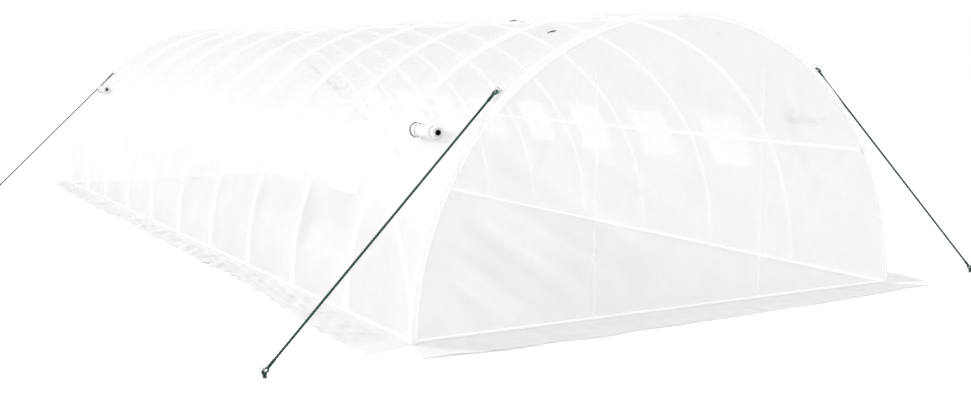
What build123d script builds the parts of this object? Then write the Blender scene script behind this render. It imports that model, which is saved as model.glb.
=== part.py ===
"""A polytunnel greenhouse: steel hoops on ground rails, tied by purlins and a ridge pole,
under a woven film cover with rows of windows, zipped end doors, skirts and guy ropes.
The origin is the centre of the footprint on the ground, the length runs along Y."""

from build123d import *
from math import asin, cos, degrees, radians, sin, sqrt
import os

# Frame
bay_count = 10
bay_length = 1000.0
outer_radius = 2000.0  # outside of the hoops, half the width of the tunnel
tube_diameter = 25.0
brace_diameter = 20.0
spigot_diameter = 18.0
spigot_reach = 80.0
purlin_angle = 31.5  # degrees up the hoop from the ground
fit_gap = 0.3

# Cross saddles that carry the purlins under the hoops
saddle_web = 3.0
saddle_size = 44.0

# Film
film = 3.0
window_width = 480.0
window_low_angle = 24.0
window_high_angle = 37.5
flap_overlap = 35.0
roll_diameter = 96.0
roll_bore = 36.0
roll_length = 325.0
roll_angle = 37.0
door_width = 1400.0
door_height = 1600.0
side_skirt_width = 220.0
end_skirt_width = 400.0
skirt_lip = 40.0
zip_width = 30.0
zip_thickness = 2.5
zip_puller = 36.0

# Guy ropes: degrees up the hoop to the tie, how far the tie is from the end hoop, how many radii
# the peg stands from the tunnel's middle line, and how far past the end hoop
guy_places = {
    "front_left": (48.0, 100.0, 1.51, 300.0),
    "front_right": (53.5, 0.0, 1.46, 30.0),
    "rear_left": (45.0, 150.0, 1.485, -500.0),
    "rear_right": (48.0, 100.0, 1.51, 300.0),
}
rope_diameter = 16.0
eye_radius = 20.0
eye_thickness = 13.0
ring_radius = 17.0
ring_wire = 6.0
tab_length = 44.0
tab_width = 30.0
peg_wire = 8.0
peg_height = 70.0
peg_bend = 14.0

half_length = bay_count * bay_length / 2
hoop_radius = outer_radius - tube_diameter / 2
purlin_radius = outer_radius - tube_diameter - saddle_web - tube_diameter / 2
cover_inner = outer_radius + fit_gap
cover_outer = cover_inner + film
frame_end = half_length + tube_diameter / 2
wall_inner = frame_end + fit_gap
wall_outer = wall_inner + film
rail_height = tube_diameter / 2
hoop_places = [bay_length * i - half_length for i in range(bay_count + 1)]
bay_places = [bay_length * (i + 0.5) - half_length for i in range(bay_count)]
sides = {"left": -1, "right": 1}
ends = {"front": -1, "rear": 1}
rolled_bays = (0, bay_count - 1)
beyond = 3 * outer_radius  # wider than the whole tunnel, for boxes that trim

os.makedirs("parts", exist_ok=True)


def save(name, solids):
    shape = solids[0] if len(solids) == 1 else Compound(children=solids)
    shape.label = name
    export_step(shape, f"parts/{name}.step")


def on_arc(radius, angle, y, side=1):
    """A point at this radius from the tunnel's axis, this many degrees up from the ground."""
    return Vector(side * radius * cos(radians(angle)), y, radius * sin(radians(angle)))


def rod(start, end, diameter):
    """A round bar from one point to another."""
    plane = Plane(origin=start, z_dir=end - start)
    return Solid.make_cylinder(diameter / 2, (end - start).length, plane)


def bent_rod(radius, diameter, first_angle, last_angle, y):
    """A round bar bent along the arc of a hoop."""
    start = on_arc(radius, first_angle, y)
    plane = Plane(origin=start, x_dir=(0, 1, 0), z_dir=on_arc(1, first_angle + 90, 0))
    section = plane * Circle(diameter / 2)
    line = Axis((0, y, 0), (0, -1, 0))
    return revolve(section, line, last_angle - first_angle)


def shell(inner, outer, first_angle, last_angle, y_from, y_to):
    """A strip of film bent round the tunnel's axis."""
    start, end = radians(first_angle), radians(last_angle)
    middle = (start + end) / 2
    points = {}
    for name, radius in (("in", inner), ("out", outer)):
        points[name] = [(radius * cos(a), radius * sin(a)) for a in (start, middle, end)]
    with BuildSketch(Plane.XZ) as section:
        with BuildLine():
            ThreePointArc(*points["in"])
            ThreePointArc(*points["out"])
            Line(points["in"][0], points["out"][0])
            Line(points["in"][2], points["out"][2])
        make_face()
    return Pos(0, y_to, 0) * extrude(section.sketch, y_to - y_from)


def mirrored(shape, side):
    return shape if side > 0 else shape.mirror(Plane.YZ)


def ring(centre, normal, radius, wire):
    return Solid.make_torus(radius, wire / 2, Plane(origin=centre, z_dir=normal))


# Hoops stand on the spigots of the ground rails, bored at both feet to take them
spigot_angle = degrees((tube_diameter + spigot_reach) / hoop_radius)
bore_angle = degrees((tube_diameter + spigot_reach + fit_gap) / hoop_radius)


def hoop(y):
    bar = bent_rod(hoop_radius, tube_diameter, 0, 180, y)
    below = Pos(0, y, 0) * Box(beyond, 2 * tube_diameter, 2 * (tube_diameter + fit_gap))
    bore_diameter = spigot_diameter + 2 * fit_gap
    bore = bent_rod(hoop_radius, bore_diameter, 0, bore_angle, y)
    return bar - below - bore - bore.mirror(Plane.YZ)


def ground_rail(side):
    """A side rail with a spigot up for each hoop and one inwards for the rail at each end."""
    start = Vector(hoop_radius, -frame_end, rail_height)
    rail = rod(start, Vector(hoop_radius, frame_end, rail_height), tube_diameter)
    first = degrees(asin(rail_height / hoop_radius))
    for y in hoop_places:
        rail += bent_rod(hoop_radius, spigot_diameter, first, spigot_angle, y)
    for end in ends.values():
        corner = Vector(hoop_radius, end * half_length, rail_height)
        tip = Vector(hoop_radius - tube_diameter / 2 - spigot_reach, end * half_length, rail_height)
        rail += rod(corner, tip, spigot_diameter)
    return mirrored(rail, side)


def end_rail(end):
    y = end * half_length
    reach = hoop_radius - tube_diameter / 2 - fit_gap
    rail = rod(Vector(-reach, y, rail_height), Vector(reach, y, rail_height), tube_diameter)
    bore_end = reach - spigot_reach
    for side in sides.values():
        inner, outer = (Vector(side * x, y, rail_height) for x in (bore_end, outer_radius))
        rail -= rod(inner, outer, spigot_diameter + 2 * fit_gap)
    return rail


def lengthwise_pole(angle):
    start = on_arc(purlin_radius, angle, -frame_end)
    return rod(start, on_arc(purlin_radius, angle, frame_end), tube_diameter)


def cross_saddle(angle, y):
    """A moulded block with two crossed troughs, one for the hoop and one for the pole."""
    middle = (hoop_radius + purlin_radius) / 2
    height = hoop_radius - purlin_radius - saddle_web
    plane = Plane(origin=on_arc(middle, angle, y), x_dir=(0, 1, 0), z_dir=on_arc(1, angle, 0))
    block = plane * Box(saddle_size, saddle_size, height)
    block &= Box(beyond, 2 * frame_end, beyond)
    trough = tube_diameter + 2 * fit_gap
    past_block = degrees(saddle_size / hoop_radius)
    block -= bent_rod(hoop_radius, trough, angle - past_block, angle + past_block, y)
    start, end = (on_arc(purlin_radius, angle, y + step * saddle_size) for step in (-1, 1))
    return block - rod(start, end, trough)


def brace(side, end):
    """A bar from the foot of the end hoop to the purlin at the next hoop."""
    radius = outer_radius - tube_diameter - fit_gap - brace_diameter / 2
    below_purlin = (saddle_size + brace_diameter) / 2 + fit_gap
    top_angle = purlin_angle - degrees(below_purlin / purlin_radius)
    low_angle = degrees((tube_diameter + 2 * brace_diameter) / radius)
    low = on_arc(radius, low_angle, end * half_length, side)
    return rod(low, on_arc(radius, top_angle, end * (half_length - bay_length), side), brace_diameter)


# Film cover and its windows
def window_cut(y):
    low, high = y - window_width / 2, y + window_width / 2
    return shell(cover_inner - film, cover_outer + film, window_low_angle, window_high_angle, low, high)


def cover():
    body = shell(cover_inner, cover_outer, 0, 180, -wall_outer, wall_outer)
    for y in bay_places:
        for side in sides.values():
            body -= mirrored(window_cut(y), side)
    return body


def window_screen(y, side):
    edge = degrees(fit_gap / cover_inner)
    half = window_width / 2 - fit_gap
    low, high = window_low_angle + edge, window_high_angle - edge
    return mirrored(shell(cover_inner, cover_outer, low, high, y - half, y + half), side)


def window_flap(y, side):
    inner = cover_outer + fit_gap
    lap = degrees(flap_overlap / inner)
    half = window_width / 2 + flap_overlap
    low, high = window_low_angle - lap, window_high_angle + lap
    return mirrored(shell(inner, inner + film, low, high, y - half, y + half), side)


def window_roll(y, side):
    radius = cover_outer + fit_gap + roll_diameter / 2
    start = on_arc(radius, roll_angle, y - roll_length / 2, side)
    end = on_arc(radius, roll_angle, y + roll_length / 2, side)
    return rod(start, end, roll_diameter) - rod(start, end, roll_bore)


# End walls with their doors
def end_sheet(end, width, height):
    y = end * (wall_inner + wall_outer) / 2
    return Pos(0, y, height / 2) * Box(width, film, height)


def end_wall(end):
    disc = Solid.make_cylinder(outer_radius, film, Plane(origin=(0, -film / 2, 0), z_dir=(0, 1, 0)))
    above = Pos(0, 0, beyond / 2) * Box(beyond, 2 * film, beyond)
    half_disc = Pos(0, end * (wall_inner + wall_outer) / 2, 0) * (disc & above)
    return half_disc - end_sheet(end, door_width, door_height)


def door(end):
    return end_sheet(end, door_width - 2 * fit_gap, door_height - fit_gap)


def zip_strip(end, side):
    """A zip over the joint of door and wall, from the skirt's lip up, its puller at the foot."""
    length = door_height - skirt_lip - fit_gap
    x, y = side * door_width / 2, end * (wall_outer + fit_gap + zip_thickness / 2)
    tape = Pos(x, y, door_height - length / 2) * Box(zip_width, zip_thickness, length)
    slider = Box(zip_width / 2, 2 * zip_thickness, zip_puller)
    return tape + Pos(x, y + end * zip_thickness, skirt_lip + zip_puller) * slider


# Skirts lie on the ground, with a lip welded up the film above them; those at the ends run
# across the whole front, past the ends of the side ones
def side_skirt(side):
    start = cover_outer + fit_gap
    length = 2 * wall_outer
    strip = Pos(start + side_skirt_width / 2, 0, film / 2) * Box(side_skirt_width, length, film)
    lip = Pos(start + film / 2, 0, skirt_lip / 2) * Box(film, length, skirt_lip)
    return mirrored(strip + lip, side)


def end_skirt(end):
    start = wall_outer + fit_gap
    width = 2 * (cover_outer + fit_gap + side_skirt_width)
    strip = Pos(0, start + end_skirt_width / 2, film / 2) * Box(width, end_skirt_width, film)
    lip = Pos(0, start + film / 2, skirt_lip / 2) * Box(2 * outer_radius, film, skirt_lip)
    skirt = strip + lip
    return skirt if end > 0 else skirt.mirror(Plane.XZ)


# Guy ropes
class Guy:
    """One rope: a ring on the cover, a rope with an eye at each end, and a hooked peg."""

    def __init__(self, side, end, angle, tie_inset, peg_radii, peg_past):
        self.out = on_arc(1, angle, 0, side)
        self.tie_place = end * (half_length - tie_inset)
        lift = cover_outer + fit_gap + film + ring_radius
        self.seat = on_arc(cover_outer + fit_gap + film / 2, angle, self.tie_place, side)
        self.ring_centre = on_arc(lift, angle, self.tie_place, side)
        self.peg = Vector(side * peg_radii * outer_radius, end * (half_length + peg_past), 0)
        self.hold = self.peg + Vector(0, 0, peg_height - peg_bend - rope_diameter)
        self.line = (self.hold - self.ring_centre).normalized()
        self.across = self.line.cross(self.out).normalized()

    def ring_and_tab(self):
        plane = Plane(origin=self.seat, x_dir=(0, 1, 0), z_dir=self.out)
        tab = plane * Box(tab_width, tab_length, film)
        bed = Solid.make_cylinder(cover_outer + fit_gap, 2 * tab_width,
                                  Plane(origin=(0, self.tie_place - tab_width, 0), z_dir=(0, 1, 0)))
        return (tab - bed) + ring(self.ring_centre, self.across, ring_radius, ring_wire)

    def rope(self):
        upper = ring_radius - ring_wire / 2 - eye_thickness / 2 - fit_gap + eye_radius
        upper_eye = self.ring_centre + self.line * upper
        flat = sqrt(self.line.X ** 2 + self.line.Y ** 2)
        lower = eye_radius - (peg_wire / 2 + eye_thickness / 2 + fit_gap) / flat
        lower_eye = self.hold - self.line * lower
        level = Vector(-self.line.Y, self.line.X, 0).normalized()
        body = rod(upper_eye + self.line * eye_radius, lower_eye - self.line * eye_radius, rope_diameter)
        body += ring(upper_eye, self.out, eye_radius, eye_thickness)
        return body + ring(lower_eye, self.line.cross(level), eye_radius, eye_thickness)

    def hook(self):
        away = Vector(self.line.X, self.line.Y, 0).normalized()
        top = peg_height - peg_bend - peg_wire / 2
        with BuildLine() as path:
            Line(self.peg, self.peg + Vector(0, 0, top))
            ThreePointArc(self.peg + Vector(0, 0, top),
                          self.peg + away * peg_bend + Vector(0, 0, top + peg_bend),
                          self.peg + away * 2 * peg_bend + Vector(0, 0, top))
        section = Plane(origin=self.peg, z_dir=(0, 0, 1)) * Circle(peg_wire / 2)
        return sweep(section, path=path.line)


for number, place in enumerate(hoop_places, 1):
    save(f"hoop_{number:02d}", [hoop(place)])
save("ridge_pole", [lengthwise_pole(90)])
save("purlin_right", [lengthwise_pole(purlin_angle)])
save("purlin_left", [lengthwise_pole(180 - purlin_angle)])
save("ridge_saddles", [cross_saddle(90, y) for y in hoop_places])
for name, side in sides.items():
    save(f"ground_rail_{name}", [ground_rail(side)])
    save(f"purlin_saddles_{name}", [mirrored(cross_saddle(purlin_angle, y), side) for y in hoop_places])
    save(f"window_screens_{name}", [window_screen(y, side) for y in bay_places])
    save(f"window_flaps_{name}", [window_flap(y, side) for i, y in enumerate(bay_places)
                                  if i not in rolled_bays])
    save(f"window_rolls_{name}", [window_roll(bay_places[i], side) for i in rolled_bays])
    save(f"skirt_{name}", [side_skirt(side)])
for name, end in ends.items():
    save(f"end_rail_{name}", [end_rail(end)])
    save(f"end_wall_{name}", [end_wall(end)])
    save(f"door_{name}", [door(end)])
    save(f"door_zips_{name}", [zip_strip(end, side) for side in sides.values()])
    save(f"skirt_{name}", [end_skirt(end)])
save("corner_braces", [brace(-1, -1), brace(1, 1)])
save("cover", [cover()])
guys = {f"{end_name}_{side_name}": Guy(side, end, *guy_places[f"{end_name}_{side_name}"])
        for end_name, end in ends.items() for side_name, side in sides.items()}
for name, guy in guys.items():
    save(f"guy_rope_{name}", [guy.rope()])
save("guy_rings", [guy.ring_and_tab() for guy in guys.values()])
save("guy_pegs", [guy.hook() for guy in guys.values()])
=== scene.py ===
import bpy
import numpy as np
from mathutils import Matrix, Vector


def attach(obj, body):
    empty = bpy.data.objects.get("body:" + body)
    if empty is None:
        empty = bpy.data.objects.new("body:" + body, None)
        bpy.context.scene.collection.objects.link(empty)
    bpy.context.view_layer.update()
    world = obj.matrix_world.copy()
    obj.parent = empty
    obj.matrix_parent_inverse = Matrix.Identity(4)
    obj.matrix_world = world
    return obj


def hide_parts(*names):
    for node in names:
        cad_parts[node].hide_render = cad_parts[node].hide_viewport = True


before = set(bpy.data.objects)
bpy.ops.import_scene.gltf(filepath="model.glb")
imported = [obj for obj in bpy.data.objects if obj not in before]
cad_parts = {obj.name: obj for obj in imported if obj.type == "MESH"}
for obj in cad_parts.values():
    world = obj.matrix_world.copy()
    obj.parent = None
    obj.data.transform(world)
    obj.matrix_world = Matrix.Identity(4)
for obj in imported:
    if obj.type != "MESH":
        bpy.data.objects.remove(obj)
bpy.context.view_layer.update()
print("frame loaded")

# the tunnel's own sizes, in metres, as the frame has them
tunnel = {"radius": 2.0, "halfLength": 5.0, "bays": 10, "tube": 0.0125, "filmLift": 0.0018,
          "wallPlane": 5.0142, "windowLow": 24.0, "windowHigh": 37.5, "windowHalf": 0.24,
          "doorHalf": 0.7, "doorTop": 1.6, "rolledBays": (0, 9)}
sideSigns = {"left": -1, "right": 1}
endSigns = {"front": -1, "rear": 1}


# mesh helpers: points and faces are whole arrays
def makePiece(name, points, faces, material, uv=None, smooth=True):
    mesh = bpy.data.meshes.new(name)
    points = np.asarray(points, dtype=np.float64)
    faces = np.asarray(faces, dtype=np.int64)
    corners = faces.shape[1]
    mesh.vertices.add(len(points))
    mesh.vertices.foreach_set("co", points.ravel())
    mesh.loops.add(faces.size)
    mesh.loops.foreach_set("vertex_index", faces.ravel())
    mesh.polygons.add(len(faces))
    mesh.polygons.foreach_set("loop_start", np.arange(len(faces)) * corners)
    mesh.polygons.foreach_set("loop_total", np.full(len(faces), corners))
    mesh.polygons.foreach_set("use_smooth", np.full(len(faces), smooth))
    if uv is not None:
        layer = mesh.uv_layers.new(name="metres")
        layer.data.foreach_set("uv", np.asarray(uv)[faces.ravel()].ravel())
    mesh.update()
    mesh.validate()
    piece = bpy.data.objects.new(name, mesh)
    bpy.context.scene.collection.objects.link(piece)
    mesh.materials.append(material)
    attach(piece, "root")
    return piece


def gridFaces(rows, columns, closeRows=False, closeColumns=False):
    # four corners of each cell of a grid whose points run row by row
    across = np.arange(rows if closeRows else rows - 1)
    along = np.arange(columns if closeColumns else columns - 1)
    r, c = np.meshgrid(across, along, indexing="ij")
    r2, c2 = (r + 1) % rows, (c + 1) % columns
    corners = (r * columns + c, r2 * columns + c, r2 * columns + c2, r * columns + c2)
    return np.stack([k.ravel() for k in corners], axis=1)


def joinParts(parts):
    # several (points, faces, uv) put into one
    points, faces, uvs, start = [], [], [], 0
    for p, f, u in parts:
        points.append(p)
        faces.append(f + start)
        uvs.append(u)
        start += len(p)
    return np.concatenate(points), np.concatenate(faces), np.concatenate(uvs)


def spread(*stops):
    # evenly spaced values between the stops, given as value, count, value, count, value
    lines = [np.linspace(stops[i], stops[i + 2], stops[i + 1], endpoint=False)
             for i in range(0, len(stops) - 2, 2)]
    return np.concatenate(lines + [[stops[-1]]])


def makeWaves(count, shortest, longest, seed):
    # random plane waves: direction, wave number and phase for each
    pick = np.random.default_rng(seed)
    turn = pick.uniform(0, np.pi, count)
    number = 2 * np.pi / np.exp(pick.uniform(np.log(shortest), np.log(longest), count))
    return np.cos(turn) * number, np.sin(turn) * number, pick.uniform(0, 2 * np.pi, count)


def waveHeight(waves, s, t):
    # the sum of all waves' sines at the place (s, t), over the square root of their number
    total = np.zeros(np.broadcast(s, t).shape)
    for a, b, phase in zip(*waves):
        total += np.sin(a * s + b * t + phase)
    return total / np.sqrt(len(waves[0]))


# materials: a node's sockets take a number, a colour or another node's output
def nodeTools(owner):
    owner.use_nodes = True
    tree = owner.node_tree
    tree.nodes.clear()

    def add(kind, sockets=None, **values):
        node = tree.nodes.new(kind)
        for key, value in values.items():
            setattr(node, key, value)
        for key, value in (sockets or {}).items():
            if isinstance(value, bpy.types.NodeSocket):
                tree.links.new(value, node.inputs[key])
            else:
                node.inputs[key].default_value = value
        return node

    def work(operation, *terms, clamp=False):
        # one sum on numbers or outputs
        terms = dict(enumerate(terms))
        return add("ShaderNodeMath", terms, operation=operation, use_clamp=clamp).outputs[0]

    def blend(share, first, second):
        return add("ShaderNodeMixShader", {"Fac": share, 1: first, 2: second}).outputs[0]

    return add, work, blend


def colour(tone):
    # a grey from one number, or a colour from three
    return (*np.broadcast_to(tone, 3).tolist(), 1.0)


def mixColours(add, share, first, second):
    # inputs 6 and 7 are the Mix node's two colours, output 2 is their mix
    return add("ShaderNodeMix", {"Factor": share, 6: first, 7: second}, data_type="RGBA").outputs[2]


# how far from a hoop each band of painted light has gone, and where it is full, in metres
hoopBands = {"contact": (0.026, 0.010), "pleats": (0.46, 0.02)}


def contactBands(add, work, place):
    # two shares of painted light, from the map's first axis: 1 where the film lies on a hoop, at every whole
    # metre, for a painted highlight on the hoop's line; and
    # 1 just behind each hoop, for a painted lit side where the sagging film faces the light, down to 0 before
    # mid-bay
    along = add("ShaderNodeSeparateXYZ", {0: place}).outputs["X"]
    distances = {"contact": work("PINGPONG", along, 0.5), "pleats": work("FRACT", along)}
    shares = []
    for band, (none, full) in hoopBands.items():
        sockets = {"Value": distances[band], "From Min": none, "From Max": full, "To Min": 0.0, "To Max": 1.0}
        shares.append(add("ShaderNodeMapRange", sockets, interpolation_type="SMOOTHSTEP").outputs[0])
    return shares


def makeFilm(name, look):
    # woven polyethylene: threads in a fine grid, cloudy patches and soft creases, partly see-through; where
    # asked, painted highlight bands on and just behind the hoops
    material = bpy.data.materials.new(name)
    add, work, blend = nodeTools(material)
    place = add("ShaderNodeTexCoord").outputs
    threads = {"Scale": look["threadScale"], "Distortion": look["threadWander"], "Vector": place["UV"]}
    warp, weft = (add("ShaderNodeTexWave", threads, wave_type="BANDS", bands_direction=axis).outputs["Fac"]
                  for axis in "XY")
    weave = work("MAXIMUM", warp, weft)
    cloud = add("ShaderNodeTexNoise", {"Scale": look["cloudScale"], "Detail": 4,
                                       "Vector": place["Object"]}).outputs["Fac"]
    crease = add("ShaderNodeTexNoise", {"Scale": look["creaseScale"], "Detail": 6, "Vector": place["Object"],
                                        "Distortion": look["creaseTwist"]}).outputs["Fac"]
    thin = look["opacity"] - look["cloudDepth"] / 2 - look["weaveDepth"] / 2
    dense = work("MULTIPLY_ADD", cloud, look["cloudDepth"], thin)
    solid = work("MULTIPLY_ADD", weave, look["weaveDepth"], dense, clamp=True)
    height = work("MULTIPLY_ADD", weave, look["threadHeight"], crease)
    bump = add("ShaderNodeBump", {"Strength": look["bump"], "Distance": look["bumpDeep"], "Height": height})
    tone = mixColours(add, cloud, colour(look["dark"]), colour(look["pale"]))
    # painted light: on each hoop's line the film is made denser and paler, a painted highlight; just behind each
    # hoop it is made denser, a painted lit side
    if look["contact"]:
        highlightBand, pleats = contactBands(add, work, place["UV"])
        solid = work("MULTIPLY_ADD", highlightBand, look["contact"], solid, clamp=True)
        solid = work("MULTIPLY_ADD", pleats, look["pleats"], solid, clamp=True)
        tone = mixColours(add, highlightBand, tone, colour(look["highlightTone"]))
    normal = bump.outputs["Normal"]
    skin = add("ShaderNodeBsdfPrincipled", {"Roughness": look["roughness"], "Specular IOR Level": look["gloss"],
                                            "Base Color": tone, "Normal": normal})
    glow = add("ShaderNodeBsdfTranslucent", {"Color": tone, "Normal": normal})
    clear = add("ShaderNodeBsdfTransparent")
    cloth = blend(look["glow"], skin.outputs[0], glow.outputs[0])
    add("ShaderNodeOutputMaterial", {"Surface": blend(solid, clear.outputs[0], cloth)})
    return material


def makeSurface(name, metal=0.0, emitted=0.0, **look):
    # an opaque finish: two tones in a fine noise, with a bump of the same grain; a white emission, where given,
    # is a painted glow
    material = bpy.data.materials.new(name)
    add = nodeTools(material)[0]
    place = add("ShaderNodeTexCoord").outputs["Object"]
    grain = add("ShaderNodeTexNoise", {"Scale": look["grain"], "Detail": 5, "Vector": place}).outputs["Fac"]
    bump = add("ShaderNodeBump", {"Strength": look["bump"], "Distance": 0.001, "Height": grain})
    tone = mixColours(add, grain, colour(look["dark"]), colour(look["pale"]))
    skin = add("ShaderNodeBsdfPrincipled", {
        "Roughness": look["roughness"], "Metallic": metal, "Emission Color": colour(1),
        "Emission Strength": emitted, "Base Color": tone, "Normal": bump.outputs["Normal"]})
    add("ShaderNodeOutputMaterial", {"Surface": skin.outputs[0]})
    return material


filmLook = {"threadScale": 32.0, "threadWander": 0.4, "threadHeight": 0.06, "weaveDepth": 0.04,
            "cloudScale": 2.2, "cloudDepth": 0.10, "creaseScale": 5.0, "creaseTwist": 1.2,
            "opacity": 0.56, "bump": 0.30, "bumpDeep": 0.012, "roughness": 0.42, "gloss": 0.35,
            "glow": 0.40, "dark": 0.80, "pale": 0.86, "contact": 0.0, "pleats": 0.0, "highlightTone": 0.93}


def filmLike(name, **changes):
    return makeFilm(name, {**filmLook, **changes})


film = filmLike("woven film")
# the roof film carries the painted highlight on the hoops and the painted lit side just behind them
roofFilm = filmLike("roof film", opacity=0.52, contact=0.12, pleats=0.10)
doubleFilm = filmLike("double film", opacity=0.84, glow=0.50, dark=0.88, pale=0.93)
flapFilm = filmLike("flap film", opacity=0.66, glow=0.92, dark=0.96, pale=0.98)
bindingFilm = filmLike("binding film", opacity=0.90, glow=0.35, dark=0.97, pale=0.985, bump=0.1)
zipFilm = filmLike("zip film", opacity=0.20, glow=0.2, dark=0.95, pale=0.97, bump=0.05)
# the skirt film is darker than the wall film: painted shade for skirts lying on the ground with no light coming
# through them
skirtFilm = filmLike("skirt film", opacity=0.90, glow=0.0, dark=(0.725, 0.715, 0.70),
                     pale=(0.785, 0.775, 0.765), bump=0.15)
screenMesh = filmLike("insect screen", threadScale=200.0, opacity=0.50, weaveDepth=0.2, bump=0.1)
# the tubes' white emission is a painted glow: they shine a little though they are no lamp
tubePaintAndGlow = makeSurface("white tube with painted glow", grain=60.0, bump=0.04, roughness=0.35, emitted=0.07,
                        dark=0.95, pale=0.98)
saddlePlastic = makeSurface("saddle plastic", grain=300.0, bump=0.08, roughness=0.5, dark=0.88, pale=0.94)
webbing = makeSurface("webbing", grain=900.0, bump=0.6, roughness=0.8, dark=0.88, pale=0.96)
# near-black: the roof ties' own colour, and painted shade in the rolls' bores and in a ring near their far ends
darkRubberAndShade = makeSurface("dark rubber and painted shade", grain=200.0, bump=0.1, roughness=0.7, dark=0.012, pale=0.02)
ropeFibre = makeSurface("green rope", grain=700.0, bump=0.5, roughness=0.75,
                        dark=(0.006, 0.036, 0.023), pale=(0.014, 0.064, 0.042))
galvanised = makeSurface("galvanised steel", grain=90.0, bump=0.1, roughness=0.4, metal=0.8,
                         dark=(0.50, 0.51, 0.52), pale=(0.72, 0.73, 0.74))
print("materials made")

# frame nodes keep their solids and get their finish
nodeFinish = {"hoop": tubePaintAndGlow, "ridge_pole": tubePaintAndGlow, "purlin_left": tubePaintAndGlow,
              "purlin_right": tubePaintAndGlow, "ground_rail": tubePaintAndGlow, "end_rail": tubePaintAndGlow,
              "corner_braces": tubePaintAndGlow, "ridge_saddles": saddlePlastic,
              "purlin_saddles": saddlePlastic, "guy_rings": galvanised, "guy_pegs": galvanised}
for nodeName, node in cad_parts.items():
    for start, finish in nodeFinish.items():
        if nodeName.startswith(start):
            node.data.materials.clear()
            node.data.materials.append(finish)
print("frame finished")

# the roof cover; waves are given by their number, and their shortest and longest length
cover = {"sag": 0.019, "lowSag": 0.056, "lowPlace": 0.55, "lowSpread": 0.34, "footRise": 0.22,
         "power": 3.2, "baySeed": 5, "baySag": (0.8, 1.25), "endBaySag": 0.35, "ripple": 0.0020,
         "waves": (14, 0.25, 1.6), "fineWaves": (18, 0.07, 0.25), "fineShare": 0.5, "seed": 3,
         "hoopColumns": 14, "windowColumns": 20, "arcRows": (22, 14, 96), "endLap": 0.0015}
baySag = np.random.default_rng(cover["baySeed"]).uniform(*cover["baySag"], tunnel["bays"])
baySag[[0, -1]] = cover["endBaySag"]
coverWaves = makeWaves(*cover["waves"], cover["seed"])
fineWaves = makeWaves(*cover["fineWaves"], cover["seed"] + 1)


def coverRadius(angle, y):
    # hoop radius plus half the film, less a sag between the hoops: one minus a power of the distance
    # from the middle of the bay, nothing at the ground, most half way up the wall; then ripples
    place = np.clip(y + tunnel["halfLength"], 0, tunnel["bays"])
    bay = np.minimum(place.astype(int), tunnel["bays"] - 1)
    free = 1 - np.abs(2 * (place - bay) - 1) ** cover["power"]
    turn = np.clip(np.minimum(angle, np.pi - angle), 0, None)
    up = tunnel["radius"] * turn
    lower = np.exp(-((up - cover["lowPlace"]) / cover["lowSpread"]) ** 2)
    deep = cover["sag"] + cover["lowSag"] * lower
    deep = deep * (1 - np.exp(-up / cover["footRise"]))
    along = tunnel["radius"] * angle
    fine = cover["fineShare"] * waveHeight(fineWaves, along, y)
    ripple = cover["ripple"] * (waveHeight(coverWaves, along, y) + fine)
    hold = np.sqrt(np.clip(free, 0, 1)) * (1 - np.exp(-up / cover["footRise"]))
    return tunnel["radius"] + tunnel["filmLift"] - baySag[bay] * deep * free + ripple * hold


def onCover(angle, y, lift=0.0):
    # the point of the cover at this angle and length, raised by lift along the radius
    reach = coverRadius(angle, y) + lift
    return np.stack([reach * np.cos(angle), y + 0 * angle, reach * np.sin(angle)], axis=-1)


def coverPatch(angles, places, lift=0.0):
    # a grid of cover points; its second map axis runs round the arc, both in metres
    a, y = np.meshgrid(angles, places, indexing="ij")
    points = onCover(a, y, lift).reshape(-1, 3)
    uv = np.stack([y.ravel(), tunnel["radius"] * a.ravel()], axis=1)
    return points, gridFaces(len(angles), len(places)), uv


low, high = np.radians(tunnel["windowLow"]), np.radians(tunnel["windowHigh"])
wallRows, windowRows, roofRows = cover["arcRows"]
coverAngles = spread(0, wallRows, low, windowRows, high, roofRows, np.pi - high, windowRows,
                     np.pi - low, wallRows, np.pi)
bayLines = []
for bay in range(tunnel["bays"]):
    start = bay - tunnel["halfLength"]
    middle = start + 0.5
    bayLines.append(spread(start, cover["hoopColumns"], middle - tunnel["windowHalf"],
                           cover["windowColumns"], middle + tunnel["windowHalf"],
                           cover["hoopColumns"], start + 1)[:-1])
coverEnd = tunnel["wallPlane"] + cover["endLap"]
coverPlaces = np.concatenate([[-coverEnd]] + bayLines + [[tunnel["halfLength"], coverEnd]])
points, faces, uv = coverPatch(coverAngles, coverPlaces)
middles = uv[faces].mean(axis=1)
arc = middles[:, 1] / tunnel["radius"]
inBay = np.abs((middles[:, 0] + tunnel["halfLength"]) % 1 - 0.5) < tunnel["windowHalf"]
inArc = ((arc > low) & (arc < high)) | ((arc > np.pi - high) & (arc < np.pi - low))
roof = makePiece("roof_film", points, faces[~(inBay & inArc)], roofFilm, uv)
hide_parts("cover")
print("roof film made")

# windows: screens, taped frames, closed flaps and the rolled ones
window = {"tape": 0.028, "tapeLift": 0.0012, "flapLap": 0.035, "flapLift": 0.005, "hem": 0.03,
          "screenGrid": (15, 19), "longTape": (3, 21), "shortTape": (17, 3), "flapGrid": (19, 23),
          "hemGrid": (3, 23)}


def windowAngles(side, first, last, count):
    angles = np.linspace(first, last, count)
    return angles if side > 0 else np.pi - angles


def windowPatch(side, bay, first, last, yFirst, yLast, lift, counts):
    # a patch of the cover's own surface, lifted, between two angles and two places from mid-bay
    middle = bay + 0.5 - tunnel["halfLength"]
    places = np.linspace(middle + yFirst, middle + yLast, counts[1])
    points, faces, uv = coverPatch(windowAngles(side, first, last, counts[0]), places, lift)
    return points, faces if side > 0 else faces[:, ::-1], uv


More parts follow.
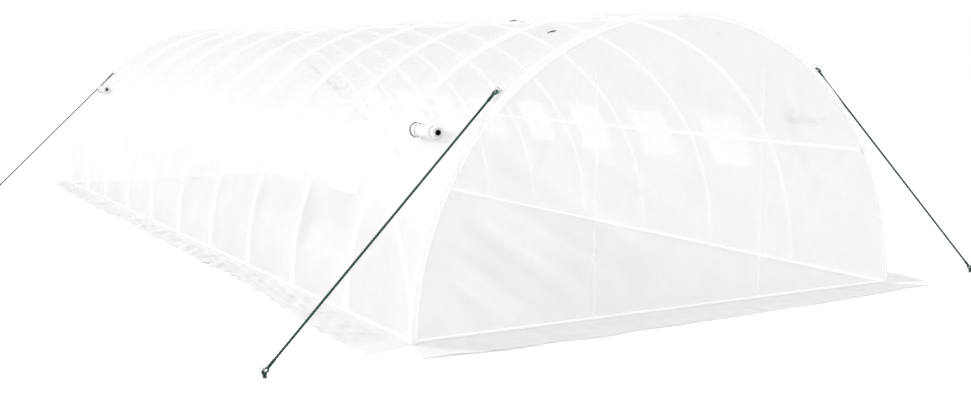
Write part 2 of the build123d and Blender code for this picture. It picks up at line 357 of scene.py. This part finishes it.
half, tape, lap = tunnel["windowHalf"], window["tape"], window["flapLap"]
tapeTurn, lapTurn = tape / tunnel["radius"], lap / tunnel["radius"]
hemTurn = window["hem"] / tunnel["radius"]
for sideName, side in sideSigns.items():
    bays = range(tunnel["bays"])
    points, faces, uv = joinParts([windowPatch(side, bay, low, high, -half, half, 0.0,
                                               window["screenGrid"]) for bay in bays])
    screens = makePiece(f"screens_{sideName}", points, faces, screenMesh, uv)
    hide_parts(f"window_screens_{sideName}")
    strips = []
    for bay in bays:
        for first, last, yFirst, yLast, counts in (
                (low - tapeTurn, low, -half - tape, half + tape, window["longTape"]),
                (high, high + tapeTurn, -half - tape, half + tape, window["longTape"]),
                (low, high, -half - tape, -half, window["shortTape"]),
                (low, high, half, half + tape, window["shortTape"])):
            strips.append(windowPatch(side, bay, first, last, yFirst, yLast, window["tapeLift"], counts))
    points, faces, uv = joinParts(strips)
    frames = makePiece(f"window_tape_{sideName}", points, faces, doubleFilm, uv)
    closed = [bay for bay in bays if bay not in tunnel["rolledBays"]]
    flaps, hems = [], []
    for bay in closed:
        flaps.append(windowPatch(side, bay, low - lapTurn, high + lapTurn, -half - lap, half + lap,
                                 window["flapLift"], window["flapGrid"]))
        for first, last in ((low - lapTurn, low - lapTurn + hemTurn),
                            (high + lapTurn - hemTurn, high + lapTurn)):
            hems.append(windowPatch(side, bay, first, last, -half - lap, half + lap,
                                    window["flapLift"] + window["tapeLift"], window["hemGrid"]))
    points, faces, uv = joinParts(flaps)
    flap = makePiece(f"flaps_{sideName}", points, faces, flapFilm, uv)
    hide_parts(f"window_flaps_{sideName}")
    points, faces, uv = joinParts(hems)
    hem = makePiece(f"flap_hems_{sideName}", points, faces, zipFilm, uv)
print("windows made")

# rolled flaps, with painted shade in their bores and a painted shadow ring near their far ends
roll = {"inner": 0.018, "outer": 0.046, "turns": 2.6, "length": 0.325, "angle": 37.0, "strap": 0.024,
        "boreShadeDeep": 0.12, "shadowRingWire": 0.003, "radius": 0.048, "seat": 0.0036, "rows": 90, "columns": 34,
        "start": {"left": 2.2, "right": 0.9}, "lumps": 0.0012, "seed": 20, "rim": 37, "endRows": 12,
        "dish": 0.0025, "dishPitch": 0.0125, "strapPlaces": (-0.32, 0.3), "strapLift": 0.0022,
        "shadowRingPlace": 0.44}


def rollAxis(side, bay):
    reach = tunnel["radius"] + roll["seat"] + roll["radius"]
    turn = np.radians(roll["angle"])
    return np.array([side * reach * np.cos(turn), bay + 0.5 - tunnel["halfLength"], reach * np.sin(turn)])


def roundStrip(centre, radii, turns, places, lumps=0.0, seed=0):
    # a strip wound round an axis along Y: radii and turns go together, each place is one ring
    t, y = np.meshgrid(np.arange(len(turns)), places, indexing="ij")
    waves = makeWaves(10, 0.04, 0.3, seed)
    swell = lumps * waveHeight(waves, turns[t] * 0.05, y)
    r = radii[t] + swell
    points = np.stack([centre[0] + r * np.cos(turns[t]), centre[1] + y,
                       centre[2] + r * np.sin(turns[t])], axis=-1)
    uv = np.stack([y.ravel(), (turns[t] * radii[t]).ravel()], axis=1)
    return points.reshape(-1, 3), gridFaces(len(turns), len(places)), uv


for sideName, side in sideSigns.items():
    spirals, boreShades, ends, straps, darkLoops = [], [], [], [], []
    for number, bay in enumerate(tunnel["rolledBays"]):
        centre = rollAxis(side, bay)
        turns = np.linspace(0, 2 * np.pi * roll["turns"], roll["rows"]) + roll["start"][sideName]
        radii = np.linspace(roll["inner"] + 0.001, roll["outer"], roll["rows"])
        places = np.linspace(-roll["length"] / 2, roll["length"] / 2, roll["columns"])
        spirals.append(roundStrip(centre, radii, turns, places, roll["lumps"], roll["seed"] + number))
        circle = np.linspace(0, 2 * np.pi, roll["rim"])
        ring = np.full(roll["rim"], roll["inner"])
        for edge in (-1, 1):
            # a near-black tube at each end of the bore: painted shade inside the roll
            inner = np.sort(edge * np.array([roll["length"] / 2 - 0.001, roll["length"] / 2 - roll["boreShadeDeep"]]))
            boreShades.append(roundStrip(centre, ring, circle, np.linspace(inner[0], inner[1], 4)))
            # the end is a disc whose dished rings stand for the edges of the turns
            steps = np.linspace(roll["inner"], roll["outer"] - 0.002, roll["endRows"])
            r, t = np.meshgrid(steps, circle, indexing="ij")
            dish = roll["dish"] * np.sin((r - roll["inner"]) / roll["dishPitch"] * 2 * np.pi + t)
            y = edge * (roll["length"] / 2 - 0.004 + dish)
            points = np.stack([centre[0] + r * np.cos(t), centre[1] + y, centre[2] + r * np.sin(t)], axis=-1)
            uv = np.stack([r.ravel(), (t * r).ravel()], axis=1)
            ends.append((points.reshape(-1, 3), gridFaces(*r.shape), uv))
        for place in roll["strapPlaces"]:
            middle = place * roll["length"]
            straps.append(roundStrip(centre, ring * 0 + roll["outer"] + roll["strapLift"], circle,
                                     np.linspace(middle - roll["strap"] / 2, middle + roll["strap"] / 2, 5)))
        # a dark ring near the far end of each roll: a painted shadow line round the roll's far end
        shadowRingTurns = np.linspace(0, 2 * np.pi, 49)
        section = np.linspace(0, 2 * np.pi, 9)
        a, b = np.meshgrid(shadowRingTurns, section, indexing="ij")
        reach = roll["outer"] + 0.001 + roll["shadowRingWire"] * np.cos(b)
        y = centre[1] + roll["length"] * roll["shadowRingPlace"] + roll["shadowRingWire"] * np.sin(b)
        points = np.stack([centre[0] + reach * np.cos(a), y, centre[2] + reach * np.sin(a)], axis=-1)
        darkLoops.append((points.reshape(-1, 3), gridFaces(*a.shape), np.stack([a.ravel(), b.ravel()], axis=1)))
    # the dark pieces of the rolls are painted shade and a painted shadow ring
    for name, parts, material, slotName in (("rolled_flaps", spirals, bindingFilm, "film"),
                                            ("roll_bore_shade", boreShades, darkRubberAndShade, "rope"),
                                            ("roll_ends", ends, bindingFilm, "film"),
                                            ("roll_straps", straps, webbing, "film"),
                                            ("roll_shadow_rings", darkLoops, darkRubberAndShade, "rope")):
        points, faces, uv = joinParts(parts)
        piece = makePiece(f"{name}_{sideName}", points, faces, material, uv)
        if name == "rolled_flaps":
            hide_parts(f"window_rolls_{sideName}")
print("rolled flaps made")

# end walls and doors
wall = {"bulge": 0.012, "ripple": 0.0018, "waves": (16, 0.18, 1.1), "seed": 40, "columns": 60,
        "doorColumns": 40, "rows": 40, "sideHeadRows": 8, "doorHeadRows": 12, "footRise": 0.15}
# each zip strip has its width, its height and its rows; teeth stand out in every second row
zipper = {"tape": (0.03, 0.0008, 60), "teeth": (0.005, 0.0024, 240), "tooth": 0.0012, "foot": 0.01}
binding = {"onRoof": 0.05, "onWall": 0.03, "lift": 0.0022}


def wallColumns(first, last, count):
    # columns of a half disc, evenly spaced by angle
    turn = np.linspace(np.arcsin(first / tunnel["radius"]), np.arcsin(last / tunnel["radius"]), count)
    return tunnel["radius"] * np.sin(turn)


def foldHeight(x, z, folds):
    # soft ridges: each runs from one point to another, is widest in its middle and fades at both ends
    total = np.zeros(x.shape)
    for x0, z0, x1, z1, wide, tall in folds:
        length = np.hypot(x1 - x0, z1 - z0)
        ux, uz = (x1 - x0) / length, (z1 - z0) / length
        along = ((x - x0) * ux + (z - z0) * uz) / length
        across = (x - x0) * uz - (z - z0) * ux
        fade = np.clip(4 * along * (1 - along), 0, 1)
        total += tall * fade * np.exp(-(across / wide) ** 2)
    return total


# each fold: where it starts and ends, how wide and how tall it is
frontFolds = [(-1.80, 0.85, -0.75, 0.12, 0.050, 0.023), (-1.70, 1.02, -0.35, 0.22, 0.045, -0.018),
              (-1.55, 1.20, -0.10, 0.30, 0.055, 0.020), (-1.86, 0.62, -1.05, 0.05, 0.040, -0.016),
              (-1.90, 0.45, -1.30, 0.04, 0.035, 0.014), (-1.35, 1.42, 0.10, 0.62, 0.05, 0.014),
              (1.80, 0.80, 0.90, 0.10, 0.05, 0.012), (1.60, 1.10, 0.60, 0.35, 0.045, -0.010),
              (-0.70, 1.75, -1.25, 0.75, 0.04, 0.010), (0.75, 1.72, 1.30, 0.70, 0.05, 0.008)]


def wallPoints(x, z, end, waves):
    # the wall's plane, pushed out by a bulge, random ripples and its folds, all zero at the rim
    inside = np.clip(1 - (x ** 2 + z ** 2) / tunnel["radius"] ** 2, 0, 1) * np.clip(z / wall["footRise"], 0, 1)
    soft = np.clip(3 * inside, 0, 1)
    flip = 1 if end < 0 else -1
    out = wall["bulge"] * inside + soft * (wall["ripple"] * waveHeight(waves, x, z)
                                           + foldHeight(flip * x, z, frontFolds))
    return np.stack([x, end * (tunnel["wallPlane"] + out), z], axis=-1)


def wallGrid(x, foot, top, rows, end, waves):
    # each column runs from its foot to its top in equal steps
    share = np.linspace(0, 1, rows)[:, None]
    z = foot[None, :] + share * (top - foot)[None, :]
    xs = np.broadcast_to(x[None, :], z.shape)
    points = wallPoints(xs, z, end, waves).reshape(-1, 3)
    faces = gridFaces(rows, len(x))
    uv = np.stack([xs.ravel(), z.ravel()], axis=1)
    return points, faces if end > 0 else faces[:, ::-1], uv


doorHalf, doorTop, rim = tunnel["doorHalf"], tunnel["doorTop"], tunnel["radius"] - 0.0005
for endName, end in endSigns.items():
    waves = makeWaves(*wall["waves"], wall["seed"] + end)
    grids = []
    for first, last in ((-rim, -doorHalf), (doorHalf, rim)):
        x = wallColumns(first, last, wall["columns"])
        top = np.sqrt(np.clip(rim ** 2 - x ** 2, 0, None))
        sill = doorTop * top / np.sqrt(rim ** 2 - doorHalf ** 2)
        grids.append(wallGrid(x, 0 * x, sill, wall["rows"], end, waves))
        grids.append(wallGrid(x, sill, top, wall["sideHeadRows"], end, waves))
    x = wallColumns(-doorHalf, doorHalf, wall["doorColumns"])
    grids.append(wallGrid(x, 0 * x + doorTop, np.sqrt(rim ** 2 - x ** 2), wall["doorHeadRows"],
                          end, waves))
    points, faces, uv = joinParts(grids)
    sheet = makePiece(f"{endName}_wall_film", points, faces, film, uv)
    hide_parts(f"end_wall_{endName}")
    points, faces, uv = wallGrid(x, 0 * x, 0 * x + doorTop, wall["rows"], end, waves)
    leaf = makePiece(f"{endName}_door_film", points, faces, film, uv)
    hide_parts(f"door_{endName}")
    # zip tapes stand on the joint of door and wall, their teeth on the tapes
    tapes, teeth = [], []
    for edge in (-1, 1):
        for (wide, lift, rows), keep in ((zipper["tape"], tapes), (zipper["teeth"], teeth)):
            across = np.linspace(-wide / 2, wide / 2, 5)
            z, s = np.meshgrid(np.linspace(zipper["foot"], doorTop, rows), across, indexing="ij")
            points = wallPoints(edge * doorHalf + s, z, end, waves)
            crown = lift * np.cos(s / wide * np.pi) ** 0.5
            ridges = 0.0 if keep is tapes else zipper["tooth"] * (np.arange(rows) % 2)[:, None]
            points[..., 1] += end * (crown + ridges)
            faces = gridFaces(*z.shape)
            keep.append((points.reshape(-1, 3), faces if end > 0 else faces[:, ::-1],
                         np.stack([s.ravel(), z.ravel()], axis=1)))
    for name, parts in (("zip_tapes", tapes), ("zip_teeth", teeth)):
        points, faces, uv = joinParts(parts)
        piece = makePiece(f"{endName}_{name}", points, faces, zipFilm, uv)
        if name == "zip_tapes":
            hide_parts(f"door_zips_{endName}")
    # binding that joins the end wall to the roof: a rounded profile carried round the end hoop
    angles = np.linspace(0, np.pi, 181)
    over, past = tunnel["radius"] + tunnel["filmLift"] + binding["lift"], coverEnd + binding["lift"]
    profile = np.array([[over, coverEnd - binding["onRoof"]], [over, coverEnd - 0.02],
                        [over, coverEnd - 0.002], [tunnel["radius"] + 0.0034, coverEnd + 0.0006],
                        [tunnel["radius"] + 0.0022, coverEnd + 0.0018], [tunnel["radius"] - 0.0004, past],
                        [tunnel["radius"] - 0.003, past], [tunnel["radius"] - 0.015, past],
                        [tunnel["radius"] - binding["onWall"], past]])
    a, p = np.meshgrid(angles, np.arange(len(profile)), indexing="ij")
    reach, place = profile[p][..., 0], profile[p][..., 1]
    points = np.stack([reach * np.cos(a), end * place, reach * np.sin(a)], axis=-1).reshape(-1, 3)
    faces = gridFaces(len(angles), len(profile))
    uv = np.stack([profile[p][..., 1].ravel(), (tunnel["radius"] * a).ravel()], axis=1)
    band = makePiece(f"{endName}_binding", points, faces if end > 0 else faces[:, ::-1], bindingFilm, uv)
print("end walls made")

# skirts on the ground
skirt = {"lip": 0.032, "wave": 0.007, "edge": 0.012, "fold": 0.020, "foldWide": 0.034, "slant": 0.5,
         "seatRise": 0.012, "step": 0.02, "cornerPush": 0.45, "endSettle": 0.08}
# places along the tunnel, or across its end, and how wide the skirt is there
sideWidths = ([-5.02, -4.65, -4.2, -3.0, -2.2, -1.6, -0.4, 1.05, 2.2, 3.7, 5.02],
              [0.32, 0.34, 0.33, 0.25, 0.21, 0.25, 0.23, 0.20, 0.25, 0.22, 0.19])
endWidths = ([-2.0, -1.6, -0.9, 0.0, 0.9, 1.65, 2.0], [0.32, 0.38, 0.385, 0.36, 0.31, 0.25, 0.21])


def skirtStrip(half, widths, pushes, folds, seed):
    # a strip that climbs the film by its lip, then lies outwards: low random waves, sharp folds that
    # start at the hoops' feet, an outer edge that wanders and draws in at each fold; both ends of the
    # strip settle on the ground
    waves = makeWaves(12, 0.16, 1.2, seed)
    pick = np.random.default_rng(seed)
    along = np.linspace(-half, half, int(2 * half / skirt["step"]))
    share = np.concatenate([[-2, -1], np.linspace(0, 1, 20)])
    y, s = np.meshgrid(along, share, indexing="ij")
    flat = np.clip(s, 0, 1)
    edge = np.interp(y, *widths) + skirt["edge"] * waveHeight(waves, y * 1.5, 0 * y + 3.0)
    ridge = np.zeros(y.shape)
    for start in folds:
        lean = skirt["slant"] * pick.uniform(0.6, 1.5)
        tall = skirt["fold"] * pick.uniform(0.5, 1.1)
        wide = skirt["foldWide"] * pick.uniform(0.8, 1.5)
        gap = y - start - lean * flat * edge
        ridge += tall * np.exp(-np.abs(gap / wide) ** 1.4) * (1 + 0.5 * np.tanh(gap / wide)) \
            * flat ** 0.7 * (1 - 0.8 * flat ** 6)
    edge = edge - 0.8 * np.clip(ridge, 0, 0.03)
    out = flat * edge
    inner = half - skirt["cornerPush"]
    push = np.interp(y, [-half, -inner, inner, half], [-pushes[0], 0, 0, pushes[1]]) * flat
    rise = np.where(s < 0, -s * skirt["lip"] / 2, 0)
    rise = rise + skirt["seatRise"] * np.exp(-(out / 0.04) ** 2) * (s >= 0)
    wave = skirt["wave"] * np.clip(flat * 4, 0, 1) * (0.6 + 0.7 * waveHeight(waves, y, out * 3))
    settle = np.where(s < 0, 1, np.clip((half - np.abs(y)) / skirt["endSettle"], 0, 1))
    return y + push, out, 0.0015 + settle * (rise + np.clip(wave, 0, None) + ridge)


def makeSkirt(name, half, widths, pushes, folds, seed, place):
    y, out, up = skirtStrip(half, widths, pushes, folds, seed)
    points = place(y, out, up).reshape(-1, 3)
    uv = np.stack([y.ravel(), (out + up).ravel()], axis=1)
    faces = gridFaces(*y.shape)
    first = points[faces[len(faces) // 2]]
    if np.cross(first[1] - first[0], first[2] - first[0])[2] < 0:
        faces = faces[:, ::-1]
    piece = makePiece(f"{name}_skirt_film", points, faces, skirtFilm, uv)
    # the lip is taped to the wall, so its faces, two of each row, have the binding's finish
    piece.data.materials.append(bindingFilm)
    lip = np.tile(np.arange(y.shape[1] - 1) < 2, y.shape[0] - 1).astype(np.int32)
    piece.data.polygons.foreach_set("material_index", lip)
    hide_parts(f"skirt_{name}")


footX, footY = tunnel["radius"] + 0.0045, coverEnd + 0.002
hoopPlaces = np.arange(tunnel["bays"] + 1) - tunnel["halfLength"]
sideFolds = np.sort(np.concatenate([hoopPlaces[1:-1], hoopPlaces[1:] - 0.45, [-4.72, 4.8]]))
endFolds = [-1.75, -1.2, 0.35, 1.5]
for sideName, side in sideSigns.items():
    makeSkirt(sideName, footY, sideWidths, (0.10, 0.06), sideFolds, 60 + side,
              lambda y, out, up: np.stack([side * (footX + out), y, up], axis=-1))
for endName, end in endSigns.items():
    makeSkirt(endName, footX, endWidths, (0.09, 0.24), endFolds, 70 + end,
              lambda y, out, up: np.stack([-end * y, end * (footY + out), up], axis=-1))
print("skirts made")

# guy ropes: three strands laid round each other between two eyes, as the frame's ropes stand
rope = {"strand": 0.0040, "lay": 0.0042, "pitch": 0.062, "stepsPerPitch": 9, "eyeStrand": 0.0032,
        "eyeLay": 0.0034, "eye": 0.020, "upperStep": 0.0272, "hold": 0.040, "lift": 2.0236,
        "lowerStep": 0.0108, "whip": 0.0094, "whipLong": 0.055, "tailTurns": 3.6, "tailReach": 0.0085,
        "tail": 0.0042, "tailFoot": 0.006, "tailTall": 0.033}
# degrees up the hoop, metres in from the end hoop, the peg's radii from the middle, its metres past it
guyPlaces = {"front_left": (48.0, 0.10, 1.51, 0.30), "front_right": (53.5, 0.0, 1.46, 0.03),
             "rear_left": (45.0, 0.15, 1.485, -0.50), "rear_right": (48.0, 0.10, 1.51, 0.30)}


def unit(vector):
    return vector / np.linalg.norm(vector)


def sweepTube(path, radius, sides=8, closed=False):
    # rings of a round section carried along a path, turned by the path's own tangent
    path = np.asarray(path)
    tangent = np.roll(path, -1, 0) - np.roll(path, 1, 0) if closed else np.gradient(path, axis=0)
    tangent /= np.linalg.norm(tangent, axis=1, keepdims=True)
    helper = np.array([0.31, 0.2, 0.93]) if abs(tangent[:, 1]).max() > 0.8 else np.array([0.0, 1.0, 0.0])
    first = np.cross(tangent, helper)
    first /= np.linalg.norm(first, axis=1, keepdims=True)
    second = np.cross(tangent, first)
    turn = np.linspace(0, 2 * np.pi, sides, endpoint=False)
    radius = np.broadcast_to(radius, len(path))
    ring = (first[:, None, :] * np.cos(turn)[None, :, None]
            + second[:, None, :] * np.sin(turn)[None, :, None])
    points = (path[:, None, :] + radius[:, None, None] * ring).reshape(-1, 3)
    walked = np.concatenate([[0], np.cumsum(np.linalg.norm(np.diff(path, axis=0), axis=1))])
    uv = np.stack([np.repeat(walked, sides), np.tile(turn, len(path))], axis=1)
    return points, gridFaces(len(path), sides, closeRows=closed, closeColumns=True), uv


def laidStrands(start, stop, radius, lay, pitch):
    # three tubes, each a helix round the straight line from start to stop
    line = stop - start
    long = np.linalg.norm(line)
    first = unit(np.cross(line, [0.3, 0.5, 0.81]))
    second = np.cross(line / long, first)
    t = np.linspace(0, 1, int(long / pitch * rope["stepsPerPitch"]))[:, None]
    tubes = []
    for strand in range(3):
        phase = 2 * np.pi * (t * long / pitch + strand / 3)
        turned = np.cos(phase) * first + np.sin(phase) * second
        tubes.append(sweepTube(start + t * line + lay * turned, radius))
    return tubes


def laidEye(centre, across, away, radius):
    # three tubes, each a closed helix of three turns round a circle
    normal = np.cross(across, away)
    t = np.linspace(0, 2 * np.pi, 48, endpoint=False)[:, None]
    out = np.cos(t) * across + np.sin(t) * away
    tubes = []
    for strand in range(3):
        phase = 3 * t + 2 * np.pi * strand / 3
        path = centre + radius * out + rope["eyeLay"] * (np.cos(phase) * out + np.sin(phase) * normal)
        tubes.append(sweepTube(path, rope["eyeStrand"], sides=7, closed=True))
    return tubes


def sleeve(middle, line, long, radius):
    # a whipping: a tube with ribs, drawn in to a cone at both ends
    t = np.linspace(-0.5, 0.5, 29)
    ribs = radius + 0.0006 * np.cos(np.arange(29) * np.pi)
    ribs[[0, -1]] = 0.0
    ribs[[1, -2]] = radius * 0.8
    return sweepTube(middle + t[:, None] * long * line, ribs, sides=12)


lashings = []
for guyName, (turn, inset, radii, past) in guyPlaces.items():
    end, side = (endSigns[guyName.split("_")[0]], sideSigns[guyName.split("_")[1]])
    outward = np.array([side * np.cos(np.radians(turn)), 0.0, np.sin(np.radians(turn))])
    ring = rope["lift"] * outward + [0, end * (tunnel["halfLength"] - inset), 0]
    peg = np.array([side * radii * tunnel["radius"], end * (tunnel["halfLength"] + past), 0.0])
    hold = peg + [0, 0, rope["hold"]]
    line = unit(hold - ring)
    level = unit(np.array([-line[1], line[0], 0.0]))
    upperEye = ring + line * rope["upperStep"]
    lowerEye = hold - line * (rope["eye"] - rope["lowerStep"] / np.hypot(line[0], line[1]))
    sideways = np.cross(outward, line)
    start, stop = upperEye + line * rope["eye"], lowerEye - line * rope["eye"]
    tubes = laidStrands(start, stop, rope["strand"], rope["lay"], rope["pitch"])
    tubes += laidEye(upperEye, unit(sideways), np.cross(unit(sideways), outward), rope["eye"])
    tubes += laidEye(lowerEye, line, level, rope["eye"])
    points, faces, uv = joinParts(tubes)
    cordPiece = makePiece(f"rope_{guyName}", points, faces, ropeFibre, uv)
    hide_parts(f"guy_rope_{guyName}")
    for middle in (start + line * rope["whipLong"] * 0.6, stop - line * rope["whipLong"] * 0.6):
        lashings.append(sleeve(middle, line, rope["whipLong"], rope["whip"]))
    # the tail is wound round the peg under its hook
    t = np.linspace(0, 1, 60)[:, None]
    spin = 2 * np.pi * rope["tailTurns"] * t
    wound = (peg + rope["tailReach"] * np.concatenate([np.cos(spin), np.sin(spin), 0 * t], axis=1)
             + [0, 0, rope["tailFoot"]] + t * np.array([0, 0, rope["tailTall"]]))
    lashings.append(sweepTube(wound, rope["tail"]))
points, faces, uv = joinParts(lashings)
lashing = makePiece("rope_lashings", points, faces, ropeFibre, uv)
print("ropes made")

# small fittings: bolts in the saddles, joint sleeves with screws on the hoops, dark ties on the roof
fitting = {"bolt": 0.0048, "boltDeep": 0.0035, "boltPlace": 0.0165, "saddleFace": 1.961,
           "saddleTurns": (31.5, 90.0, 148.5), "sleeveTurns": (62.0, 118.0), "sleeveLong": 0.05,
           "sleeve": 0.0133, "tie": 0.0022, "tieLong": 0.030, "tieWide": 0.011, "knot": 0.006}
tiePlaces = ((111.0, -4.52, 0.5), (98.0, -3.30, 0.2), (69.0, -4.52, -0.5), (82.0, -3.30, -0.2))


def boltHead(centre, out, along):
    # a low six-sided head with a domed top
    across = np.cross(out, along)
    corner = np.arange(6) * np.pi / 3
    ring = np.cos(corner)[:, None] * along + np.sin(corner)[:, None] * across
    size = fitting["bolt"]
    layers = [centre + size * ring, centre + size * ring + out * fitting["boltDeep"] * 0.8,
              centre + size * 0.8 * ring + out * fitting["boltDeep"], centre + 0.001 * size * ring
              + out * fitting["boltDeep"] * 1.15]
    points = np.concatenate(layers)
    return points, gridFaces(4, 6, closeColumns=True), np.zeros((len(points), 2))


bolts, sleeves, screws = [], [], []
yAxis = np.array([0.0, 1.0, 0.0])
for y in hoopPlaces:
    inward = 0.0 if abs(y) < tunnel["halfLength"] - 0.1 else -np.sign(y) * fitting["boltPlace"]
    for turn in fitting["saddleTurns"]:
        radial = np.array([np.cos(np.radians(turn)), 0, np.sin(np.radians(turn))])
        tangent = np.array([-radial[2], 0, radial[0]])
        for a in (-1, 1):
            shift = inward if inward else a * fitting["boltPlace"]
            centre = fitting["saddleFace"] * radial + tangent * a * fitting["boltPlace"] + yAxis * (y + shift)
            bolts.append(boltHead(centre, -radial, yAxis))
    for turn in fitting["sleeveTurns"]:
        middleRadius = tunnel["radius"] - tunnel["tube"]
        spanTurn = fitting["sleeveLong"] / middleRadius
        t = np.radians(turn) + np.linspace(-spanTurn / 2, spanTurn / 2, 7)
        path = np.stack([middleRadius * np.cos(t), np.full(7, y), middleRadius * np.sin(t)], axis=1)
        girth = np.full(7, fitting["sleeve"])
        girth[[0, -1]] = tunnel["tube"]
        sleeves.append(sweepTube(path, girth, sides=20))
        for share in (2, 4):
            radial = unit(path[share] * [1, 0, 1])
            screws.append(boltHead(path[share] - radial * fitting["sleeve"], -radial, yAxis))
for name, parts, material, slotName in (("saddle_bolts", bolts, galvanised, "steel"),
                                        ("hoop_sleeves", sleeves, tubePaintAndGlow, "tube"),
                                        ("sleeve_screws", screws, galvanised, "steel")):
    points, faces, uv = joinParts(parts)
    makePiece(name, points, faces, material, uv, smooth=name == "hoop_sleeves")

darkLoops = []
for turn, y, tilt in tiePlaces:
    t = np.linspace(0, 2 * np.pi, 40, endpoint=False)
    aside = fitting["tieWide"] * np.sin(t) + tilt * fitting["tieLong"] * np.cos(t)
    a = np.radians(turn) + aside / tunnel["radius"]
    path = onCover(a, y + fitting["tieLong"] * np.cos(t), 0.003 + 0.004 * np.sin(t) ** 2)
    darkLoops.append(sweepTube(path, fitting["tie"], closed=True))
    knot = np.linspace(0, 1, 24)
    a = np.radians(turn) + fitting["knot"] * np.sin(4 * np.pi * knot) / tunnel["radius"]
    path = onCover(a, y + fitting["knot"] * np.cos(4 * np.pi * knot) - 0.004, 0.005 + 0.003 * knot)
    darkLoops.append(sweepTube(path, fitting["tie"]))
points, faces, uv = joinParts(darkLoops)
makePiece("roof_ties", points, faces, darkRubberAndShade, uv)
print("fittings made")

# stage: a plain floor, even sky light, a soft sun from the left rear, a weaker one from the front
# right, and the camera
stage = {"horizon": 1.15, "zenith": 0.90, "seenThrough": 0.78, "floorHalf": 60.0,
         "floor": (0.76, 0.745, 0.73), "floorGlow": 0.40,
         "lamps": {"soft sun": (2.00, (-0.55, 0.78, 0.36), 0.3),  # strength, where from, spread
                   "front fill": (1.20, (0.85, -0.50, 0.30), 0.4)}}


def directView(add, work):
    # 1 for a camera ray that has met no film yet, or one seen in gloss or glass
    path = add("ShaderNodeLightPath").outputs
    seen = work("MULTIPLY", path["Is Camera Ray"], work("LESS_THAN", path["Transparent Depth"], 0.5))
    glossy = work("ADD", seen, path["Is Glossy Ray"], clamp=True)
    return work("ADD", glossy, path["Is Transmission Ray"], clamp=True)


floorCorners = stage["floorHalf"] * np.array([[-1, -1, 0], [1, -1, 0], [1, 1, 0], [-1, 1, 0]])
floorMesh = bpy.data.meshes.new("floor")
floorMesh.from_pydata(floorCorners.tolist(), [], [[0, 1, 2, 3]])
floor = bpy.data.objects.new("floor", floorMesh)
bpy.context.scene.collection.objects.link(floor)
floorMaterial = bpy.data.materials.new("pale floor")
add, work, blend = nodeTools(floorMaterial)
matt = add("ShaderNodeBsdfDiffuse", {"Color": colour(stage["floor"])})
floorLight = work("MULTIPLY", directView(add, work), stage["floorGlow"])
emitted = add("ShaderNodeEmission", {"Color": colour(1), "Strength": floorLight})
ground = add("ShaderNodeAddShader", {0: matt.outputs[0], 1: emitted.outputs[0]})
# beyond the tunnel and seen through film, the floor has the sky's own tone, so that no horizon shows
beyond = add("ShaderNodeEmission", {"Color": colour(1), "Strength": stage["seenThrough"]})
axes = add("ShaderNodeSeparateXYZ", {0: add("ShaderNodeTexCoord").outputs["Object"]}).outputs
outside = work("MAXIMUM", *(work("GREATER_THAN", work("ABSOLUTE", axes[axis]), reach)
                            for axis, reach in (("X", tunnel["radius"]), ("Y", tunnel["halfLength"]))))
path = add("ShaderNodeLightPath").outputs
filmed = work("MULTIPLY", work("GREATER_THAN", path["Transparent Depth"], 0.5), path["Is Camera Ray"])
floorLook = blend(work("MULTIPLY", filmed, outside), ground.outputs[0], beyond.outputs[0])
add("ShaderNodeOutputMaterial", {"Surface": floorLook})
floorMesh.materials.append(floorMaterial)

# the sky lights the part, is one plain tone through film, and white where the camera looks straight at it
world = bpy.data.worlds.new("sky")
bpy.context.scene.world = world
add, work, blend = nodeTools(world)
way = add("ShaderNodeSeparateXYZ", {0: add("ShaderNodeTexCoord").outputs["Generated"]})
level = add("ShaderNodeMapRange", {"Value": work("ABSOLUTE", way.outputs["Z"]), "To Min": stage["horizon"],
                                   "To Max": stage["zenith"]})
light, through, white = (add("ShaderNodeBackground", {"Color": colour(1), "Strength": strength}).outputs[0]
                         for strength in (level.outputs[0], stage["seenThrough"], 1.0))
cameraRay = add("ShaderNodeLightPath").outputs["Is Camera Ray"]
sky = blend(directView(add, work), blend(cameraRay, light, through), white)
add("ShaderNodeOutputWorld", {"Surface": sky})

for lampName, (energy, comesFrom, soft) in stage["lamps"].items():
    lampData = bpy.data.lights.new(lampName, "SUN")
    lampData.energy = energy
    lampData.angle = soft
    lamp = bpy.data.objects.new(lampName, lampData)
    lamp.rotation_euler = Vector(comesFrom).to_track_quat("Z", "Y").to_euler()
    bpy.context.scene.collection.objects.link(lamp)

camera = {"place": (-5.148, -11.383, 1.751), "yaw": 29.80, "pitch": -7.20, "roll": 0.144,
          "focalPixels": 1218.5, "imageWide": 971.0, "sensor": 36.0, "sight": 200.0}
lens = bpy.data.cameras.new("camera")
lens.sensor_width = camera["sensor"]
lens.lens = camera["focalPixels"] / camera["imageWide"] * camera["sensor"]
lens.clip_end = camera["sight"]
eye = bpy.data.objects.new("camera", lens)
turn = (Matrix.Rotation(np.radians(-camera["yaw"]), 4, "Z")
        @ Matrix.Rotation(np.radians(90 + camera["pitch"]), 4, "X")
        @ Matrix.Rotation(np.radians(camera["roll"]), 4, "Z"))
eye.matrix_world = Matrix.Translation(camera["place"]) @ turn
bpy.context.scene.collection.objects.link(eye)
bpy.context.scene.camera = eye
bpy.context.scene.view_settings.view_transform = "Standard"
print("stage set")
